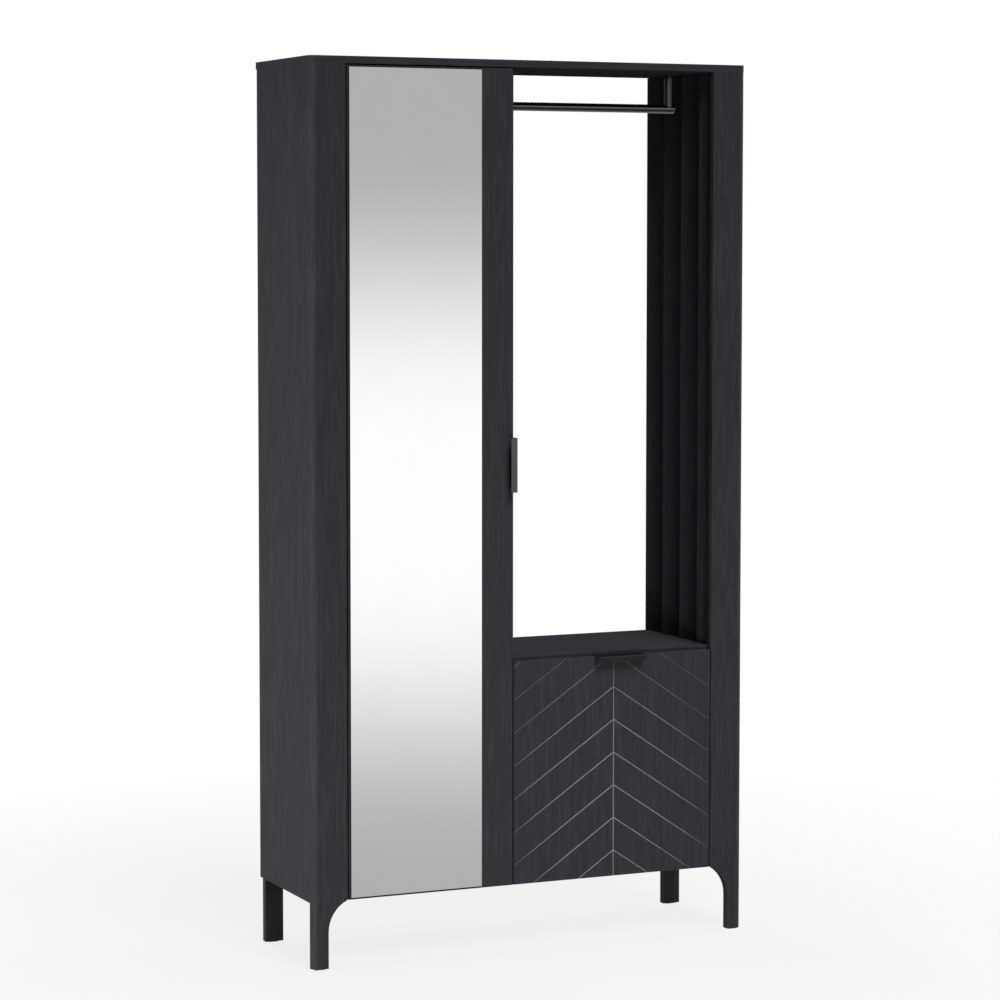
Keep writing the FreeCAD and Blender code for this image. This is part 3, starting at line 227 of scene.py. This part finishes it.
def bright_metal(name, colour, tarnish, roughness, grit):
    """Plated or cast metal: bright, with a cloudy tarnish and a fine grit that spreads the light. grit
    is the width of its grains, drawn many times too wide, because real ones would not show."""
    cloud_width, grit_depth = 6 * MM, 0.1 * MM
    material, tree, metal = new_material(name)
    place = add(tree, "ShaderNodeTexCoord").outputs["Object"]
    cloud = add(tree, "ShaderNodeTexNoise", {"Vector": place, "Scale": 1 / cloud_width, "Detail": 4.0})
    grain = add(tree, "ShaderNodeTexNoise", {"Vector": place, "Scale": 1 / grit, "Detail": 2.0})
    tint = add(tree, "ShaderNodeValToRGB", {"Fac": cloud.outputs[0]},
               [(0.3, linear(colour)), (0.75, linear(tarnish))])
    dull = add(tree, "ShaderNodeMapRange", {
        "Value": cloud.outputs[0], "From Min": 0.3, "From Max": 0.7,
        "To Min": roughness - 0.06, "To Max": roughness + 0.08})
    relief = add(tree, "ShaderNodeBump", {
        "Height": grain.outputs[0], "Strength": 0.15, "Distance": grit_depth})
    tree.links.new(tint.outputs[0], metal.inputs["Base Color"])
    tree.links.new(dull.outputs[0], metal.inputs["Roughness"])
    tree.links.new(relief.outputs[0], metal.inputs["Normal"])
    metal.inputs["Metallic"].default_value = 1.0
    return material


nickel_plate = bright_metal("nickel_plated_steel", "#c8c5be", "#b3b0aa", 0.28, 0.8 * MM)
die_cast_zinc = bright_metal("die_cast_zinc", "#9fa1a4", "#8b8d90", 0.45, 0.6 * MM)
dress(nickel_plate, "back_panel_nails", "shelf_pins", "cam_bolts")
dress(die_cast_zinc, "cam_discs")


# Clothes rail of the niche: round steel tube with capped ends on two short uprights, welded and
# enamelled black. Its uprights take threaded plugs, and bolts through the top panel hold it.

def black_coat(name, roughness):
    """Baked black enamel: hardly any colour of its own, all that shows is the bright studio mirrored
    in it, softened by a slight orange peel. Its IOR lies above an enamel's usual 1.5, because the
    real rail shines that strongly."""
    peel_width, peel_depth, cloud_width = 1.6 * MM, 0.1 * MM, 30 * MM
    material, tree, film = new_material(name)
    place = add(tree, "ShaderNodeTexCoord").outputs["Object"]
    peel = add(tree, "ShaderNodeTexNoise", {"Vector": place, "Scale": 1 / peel_width, "Detail": 2.0})
    cloud = add(tree, "ShaderNodeTexNoise", {"Vector": place, "Scale": 1 / cloud_width, "Detail": 3.0})
    tint = add(tree, "ShaderNodeValToRGB", {"Fac": cloud.outputs[0]},
               [(0.3, linear("#0a0a0b")), (0.7, linear("#101011"))])
    gloss = add(tree, "ShaderNodeMapRange", {
        "Value": peel.outputs[0], "From Min": 0.3, "From Max": 0.7,
        "To Min": roughness - 0.03, "To Max": roughness + 0.03})
    relief = add(tree, "ShaderNodeBump", {
        "Height": peel.outputs[0], "Strength": 0.08, "Distance": peel_depth})
    tree.links.new(tint.outputs[0], film.inputs["Base Color"])
    tree.links.new(gloss.outputs[0], film.inputs["Roughness"])
    tree.links.new(relief.outputs[0], film.inputs["Normal"])
    film.inputs["IOR"].default_value = 2.12
    return material


glossy_enamel = black_coat("glossy_black_enamel", 0.12)
dress(glossy_enamel, "clothes_rail", "rail_bolts")
dress(nickel_plate, "rail_plugs")


# Hanging rod across the depth of the wardrobe: nickel plated tube in two moulded nylon holders,
# which are screwed up under the upper shelf.

def moulded_plastic(name, dark, light, roughness):
    """Moulded nylon: dull black with the fine spark-eroded grain of its mould, drawn 0.9 mm wide and
    so several times too wide, because the real one would not show."""
    grain_width, grain_depth = 0.9 * MM, 0.1 * MM
    material, tree, plastic = new_material(name)
    place = add(tree, "ShaderNodeTexCoord").outputs["Object"]
    grain = add(tree, "ShaderNodeTexNoise", {"Vector": place, "Scale": 1 / grain_width, "Detail": 3.0})
    tint = add(tree, "ShaderNodeValToRGB", {"Fac": grain.outputs[0]},
               [(0.3, linear(dark)), (0.7, linear(light))])
    relief = add(tree, "ShaderNodeBump", {
        "Height": grain.outputs[0], "Strength": 0.2, "Distance": grain_depth})
    tree.links.new(tint.outputs[0], plastic.inputs["Base Color"])
    tree.links.new(relief.outputs[0], plastic.inputs["Normal"])
    plastic.inputs["Roughness"].default_value = roughness
    return material


black_nylon = moulded_plastic("black_nylon", "#131314", "#1c1c1d", 0.5)
dress(black_nylon, "rod_holders")
dress(nickel_plate, "wardrobe_rod")


# Door: one upright board like the sides, hung on four hinges. Its mirror is a sheet of silvered
# glass, cut to size, ground along its edges and glued to the door's front.

dress(black_ash("door_panel", UPRIGHT, (0.9, 5.2, 0.7)), "door_panel")

# Silvered glass: a clear image with the faintest haze, and a dull dark green along the ground edge.
silvered_glass, tree, glass = new_material("silvered_glass")
face_depth = 0.3 * MM
haze_width = 90 * MM
edge_roughness = 0.2
glass_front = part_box("mirror_glass")[0].y
place = add(tree, "ShaderNodeTexCoord").outputs["Object"]
depth = add(tree, "ShaderNodeSeparateXYZ", {0: place}).outputs["Y"]
edge = add(tree, "ShaderNodeMath", {0: depth, 1: glass_front + face_depth}, operation="GREATER_THAN")
haze = add(tree, "ShaderNodeTexNoise", {"Vector": place, "Scale": 1 / haze_width, "Detail": 4.0})
silver = add(tree, "ShaderNodeValToRGB", {"Fac": haze.outputs[0]},
             [(0.35, linear("#fefefe")), (0.65, linear("#fcfdfc"))])
tint = add(tree, "ShaderNodeMix", {
    0: edge.outputs[0], 6: silver.outputs[0], 7: linear("#39443f")}, data_type="RGBA")
blur = add(tree, "ShaderNodeMapRange", {
    "Value": haze.outputs[0], "From Min": 0.4, "From Max": 0.7, "To Min": 0.006, "To Max": 0.02})
ground = add(tree, "ShaderNodeMath", {
    0: edge.outputs[0], 1: edge_roughness, 2: blur.outputs[0]}, operation="MULTIPLY_ADD")
tree.links.new(tint.outputs[2], glass.inputs["Base Color"])
tree.links.new(ground.outputs[0], glass.inputs["Roughness"])
glass.inputs["Metallic"].default_value = 1.0
dress(silvered_glass, "mirror_glass")


# Edge pull handles: bent steel strip, enamelled black with a satin gloss. Screwed to the edges of
# the door and the flap, with a slanted lip that the fingers hook behind.

dress(black_coat("satin_black_enamel", 0.3), "door_handle", "flap_handle")
dress(nickel_plate, "door_handle_screws", "flap_handle_screws")


# Concealed hinges and the magnet catch: cups and arms pressed from steel and nickel plated, the
# cups sunk into the door, the arms screwed to the carcass. The magnet sits in a nylon housing and
# holds a steel strike plate on the door.

dress(nickel_plate, "hinge_cups", "hinge_cup_screws", "hinge_pins", "hinge_arms", "hinge_plate_screws",
      "strike_plate")
dress(black_nylon, "magnet_catch")


# Flap of the shoe cabinet: one board with V-grooves milled in a chevron through the foil. Their
# walls carry a painted highlight: a paler grey that stands for the light they catch. It is brightest
# below the middle, and painted shade dims it towards the flap's edges, so that the lines stand out.
# It tips out with the shoe rack behind it.

flap_ash = black_ash("flap_panel", UPRIGHT, (1.3, 5.9, 0.15))
flap_low, flap_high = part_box("flap_panel")
wall_start = 0.5 * MM
wall_end = 1.85 * MM
rim = 1.5 * MM
fade_drop = 70 * MM
tree = flap_ash.node_tree
coat = tree.nodes["Principled BSDF"]
face_colour = coat.inputs["Base Color"].links[0].from_socket
place = add(tree, "ShaderNodeTexCoord").outputs["Object"]
axes = add(tree, "ShaderNodeSeparateXYZ", {0: place})
limits = ((axes.outputs["Y"], "GREATER_THAN", flap_low.y + wall_start),
          (axes.outputs["Y"], "LESS_THAN", flap_low.y + wall_end),
          (axes.outputs["X"], "GREATER_THAN", flap_low.x + rim),
          (axes.outputs["X"], "LESS_THAN", flap_high.x - rim),
          (axes.outputs["Z"], "GREATER_THAN", flap_low.z + rim),
          (axes.outputs["Z"], "LESS_THAN", flap_high.z - rim))
in_groove = None
for socket, test, limit in limits:
    inside = add(tree, "ShaderNodeMath", {0: socket, 1: limit}, operation=test).outputs[0]
    if in_groove is not None:
        inside = add(tree, "ShaderNodeMath", {0: inside, 1: in_groove}, operation="MULTIPLY").outputs[0]
    in_groove = inside
# Painted highlight in the grooves: their walls are drawn paler grey for the light they catch, brightest
# fade_drop below the flap's middle, with painted shade that dims them towards the edges.
middle = (flap_low + flap_high) / 2
middle.z -= fade_drop
reach_x, reach_z = flap_high.x - middle.x, flap_high.z - middle.z
from_middle = add(tree, "ShaderNodeMapping", {
    "Vector": place, "Scale": (1 / reach_x, 0, 1 / reach_z),
    "Location": (-middle.x / reach_x, 0, -middle.z / reach_z)})
outward = add(tree, "ShaderNodeVectorMath", {0: from_middle.outputs[0]}, operation="LENGTH")
painted_groove_light = add(tree, "ShaderNodeValToRGB", {"Fac": outward.outputs["Value"]},
           [(0.0, linear("#7c7c7e")), (0.5, linear("#78787a")), (0.8, linear("#69696b")),
            (1.0, linear("#4e4e50"))])
grooved = add(tree, "ShaderNodeMix", {
    0: in_groove, 6: face_colour, 7: painted_groove_light.outputs[0]}, data_type="RGBA")
tree.links.new(grooved.outputs[2], coat.inputs["Base Color"])
dress(flap_ash, "flap_panel")


# Shoe rack behind the flap: two cheeks, two tiers with back rails, of the same board. It turns on
# steel pins in nylon bushes, and two fixed pins in curved slots end its travel.

for number, board in enumerate(("left_rack_cheek", "right_rack_cheek")):
    dress(black_ash(board, UPRIGHT, (0.37 * number, 6.4, 0.3 * number)), board)
for number, board in enumerate(("lower_tier_floor", "upper_tier_floor",
                                "lower_tier_rail", "upper_tier_rail")):
    dress(black_ash(board, ACROSS, (0.41 * number, 7.1, 0.2 * number)), board)
dress(nickel_plate, "flap_pivot_pins", "flap_stop_pins")
dress(black_nylon, "flap_pivot_bushes")


# Bumpers on the door and flap: soft drops of cast polyurethane with a sticky back, stuck on where
# the boards would knock.

# Clear polyurethane: a pale, slightly cloudy drop with a soft shine that lets half the light through.
soft_drop, tree, drop = new_material("clear_polyurethane")
cloud_width = 2 * MM
place = add(tree, "ShaderNodeTexCoord").outputs["Object"]
cloud = add(tree, "ShaderNodeTexNoise", {"Vector": place, "Scale": 1 / cloud_width, "Detail": 2.0})
tint = add(tree, "ShaderNodeValToRGB", {"Fac": cloud.outputs[0]},
           [(0.3, linear("#d8d8d2")), (0.7, linear("#c4c4be"))])
tree.links.new(tint.outputs[0], drop.inputs["Base Color"])
drop.inputs["Roughness"].default_value = 0.3
drop.inputs["Transmission Weight"].default_value = 0.5
dress(soft_drop, "door_bumpers", "flap_bumpers")


# Glides under the four feet: moulded nylon pads that let the wardrobe slide on the floor. Each is
# nailed into the end of its leg.

dress(black_nylon, "foot_glides")


# Studio floor: one wide sheet of white paper, laid flat. The object's shadow shows pale on it, and
# gloss does not mirror it.

reach = 2.8
shadow_reach, white_reach = 0.8, 2.4
flat_sheet = bmesh.new()
bmesh.ops.create_grid(flat_sheet, x_segments=1, y_segments=1, size=reach)
floor_mesh = bpy.data.meshes.new("studio_floor")
flat_sheet.to_mesh(floor_mesh)
flat_sheet.free()
floor = bpy.data.objects.new("studio_floor", floor_mesh)
bpy.context.scene.collection.objects.link(floor)
floor.visible_glossy = False

# Studio paper: dull, nearly white to the camera and quite white far from the object. To the lamps
# it is grey, so that less light bounces up under the boards.
paper, tree, sheet = new_material("white_studio_paper")
sheet.inputs["Base Color"].default_value = linear("#a4a4a4")
sheet.inputs["Roughness"].default_value = 0.9
sheet.inputs["Specular IOR Level"].default_value = 0.0
place = add(tree, "ShaderNodeTexCoord").outputs["Object"]
distance = add(tree, "ShaderNodeVectorMath", {0: place}, operation="LENGTH")
whitened = add(tree, "ShaderNodeMapRange", {
    "Value": distance.outputs["Value"], "From Min": shadow_reach, "From Max": white_reach,
    "To Min": 0.82, "To Max": 1.0})
glow = add(tree, "ShaderNodeEmission", {"Color": linear("#ffffff"), "Strength": 1.0})
seen = add(tree, "ShaderNodeLightPath").outputs["Is Camera Ray"]
share = add(tree, "ShaderNodeMath", {0: seen, 1: whitened.outputs[0]}, operation="MULTIPLY")
mixed = add(tree, "ShaderNodeMixShader", {0: share.outputs[0], 1: sheet.outputs[0], 2: glow.outputs[0]})
tree.links.new(mixed.outputs[0], tree.nodes["Material Output"].inputs["Surface"])
floor_mesh.materials.append(paper)


# Studio walls: plain white to the camera. What gloss mirrors is painted by direction: in front, bands
# of white and grey by height, dimmer at the sides, and behind, a grey wall over bright paper.

world = bpy.data.worlds.new("white_studio")
bpy.context.scene.world = world
world.use_nodes = True
tree = world.node_tree
tree.nodes.clear()
path = add(tree, "ShaderNodeLightPath")
direction = add(tree, "ShaderNodeTexCoord").outputs["Generated"]
axes = add(tree, "ShaderNodeSeparateXYZ", {0: direction})
upward = add(tree, "ShaderNodeMapRange", {
    "Value": axes.outputs["Z"], "From Min": -1.0, "From Max": 1.0, "To Min": 0.0, "To Max": 1.0})
white, grey = linear("#ffffff"), linear("#b0b0b0")
half, dark = linear("#6c6c6c"), linear("#4a4a4a")
rear_left, rear_right, rear_paper = linear("#808080"), linear("#2c2c2c"), linear("#cccccc")
heights = ((-1.0, white), (-0.88, half), (-0.75, half), (-0.6, dark), (-0.36, dark), (-0.25, grey),
           (-0.2135, grey), (-0.175, grey), (-0.1315, white), (-0.0855, white), (-0.0395, white),
           (0.004, grey), (0.0425, grey), (0.075, grey), (0.14, white), (0.34, white), (0.45, dark))
gradient = add(tree, "ShaderNodeValToRGB", {"Fac": upward.outputs[0]},
               [((height + 1) / 2, tone) for height, tone in heights])
gradient.color_ramp.interpolation = "B_SPLINE"
brightest_x = 0.1
off_front = add(tree, "ShaderNodeMath", {0: axes.outputs["X"], 1: brightest_x}, operation="SUBTRACT")
aside = add(tree, "ShaderNodeMath", {0: off_front.outputs[0]}, operation="ABSOLUTE")
level = add(tree, "ShaderNodeMapRange", {
    "Value": aside.outputs[0], "From Min": 0.45, "From Max": 0.62, "To Min": 1.0, "To Max": 0.45})
rightward = add(tree, "ShaderNodeMapRange", {
    "Value": axes.outputs["X"], "From Min": -0.1, "From Max": 0.2, "To Min": 0.0, "To Max": 1.0})
rear_wall = add(tree, "ShaderNodeMix", {
    0: rightward.outputs[0], 6: rear_left, 7: rear_right}, data_type="RGBA")
above_paper = add(tree, "ShaderNodeMapRange", {
    "Value": axes.outputs["Z"], "From Min": -0.1, "From Max": 0.0, "To Min": 0.0, "To Max": 1.0})
rear = add(tree, "ShaderNodeMix", {
    0: above_paper.outputs[0], 6: rear_paper, 7: rear_wall.outputs[2]}, data_type="RGBA")
behind = add(tree, "ShaderNodeMapRange", {
    "Value": axes.outputs["Y"], "From Min": -0.05, "From Max": 0.15, "To Min": 0.0, "To Max": 1.0})
all_round = add(tree, "ShaderNodeMix", {
    0: behind.outputs[0], 6: gradient.outputs[0], 7: rear.outputs[2]}, data_type="RGBA")
mirrored = add(tree, "ShaderNodeBackground", {"Color": all_round.outputs[2], "Strength": level.outputs[0]})
ambient = add(tree, "ShaderNodeBackground", {"Color": white, "Strength": 0.03})
backdrop = add(tree, "ShaderNodeBackground", {"Color": white, "Strength": 1.0})
with_mirror = add(tree, "ShaderNodeMixShader", {
    0: path.outputs["Is Glossy Ray"], 1: ambient.outputs[0], 2: mirrored.outputs[0]})
with_white = add(tree, "ShaderNodeMixShader", {
    0: path.outputs["Is Camera Ray"], 1: with_mirror.outputs[0], 2: backdrop.outputs[0]})
clear_view = add(tree, "ShaderNodeMixShader", {
    0: path.outputs["Is Transmission Ray"], 1: with_white.outputs[0], 2: backdrop.outputs[0]})
add(tree, "ShaderNodeOutputWorld", {"Surface": clear_view.outputs[0]})


# Lamps: one large softbox high in front, a low one for fill, a strip at each side and one softbox
# high behind. Each has its place and aim in metres, its width and height, and its power in watts.
# Gloss mirrors the walls of the studio, not the lamps.

for name, spot, aim, width, height, power in (
        ("front_softbox", (0.4, -6.42, 8.66), (0, 0, 1), 4.5, 4.5, 1020),
        ("low_front_fill", (-0.25, -1.8, 0.25), (0, 0, 0.4), 0.8, 0.4, 14.5),
        ("left_strip", (-4.0, -0.15, 0.5), (0, -0.15, 0.5), 0.3, 0.9, 188),
        ("right_strip", (4.0, 0.0, 0.9), (0, 0, 0.9), 0.3, 0.9, 178),
        ("rear_softbox", (0.2, 3.4, 8.2), (0.2, 0, 0.7), 2.0, 2.0, 316)):
    lamp = bpy.data.lights.new(name, "AREA")
    lamp.shape = "RECTANGLE"
    lamp.size = width
    lamp.size_y = height
    lamp.energy = power
    holder = bpy.data.objects.new(name, lamp)
    holder.visible_glossy = False
    holder.location = spot
    holder.rotation_euler = (Vector(aim) - Vector(spot)).to_track_quat("-Z", "Y").to_euler()
    bpy.context.scene.collection.objects.link(holder)


# Camera: a long lens at eye height, in front and to the left, that looks slightly down. Its picture
# is shifted a little, as the photograph's is.

camera = bpy.data.cameras.new("photo_camera")
camera.lens = 113.97
camera.sensor_width = 36.0
camera.shift_x = 0.0221
camera.shift_y = -0.0522
viewer = bpy.data.objects.new("photo_camera", camera)
viewer.location = (-2.99297, -6.5664, 1.61704)
viewer.rotation_euler = (radians(86.12), 0, radians(-24.01))
bpy.context.scene.collection.objects.link(viewer)
bpy.context.scene.camera = viewer
bpy.context.scene.view_settings.view_transform = "Standard"
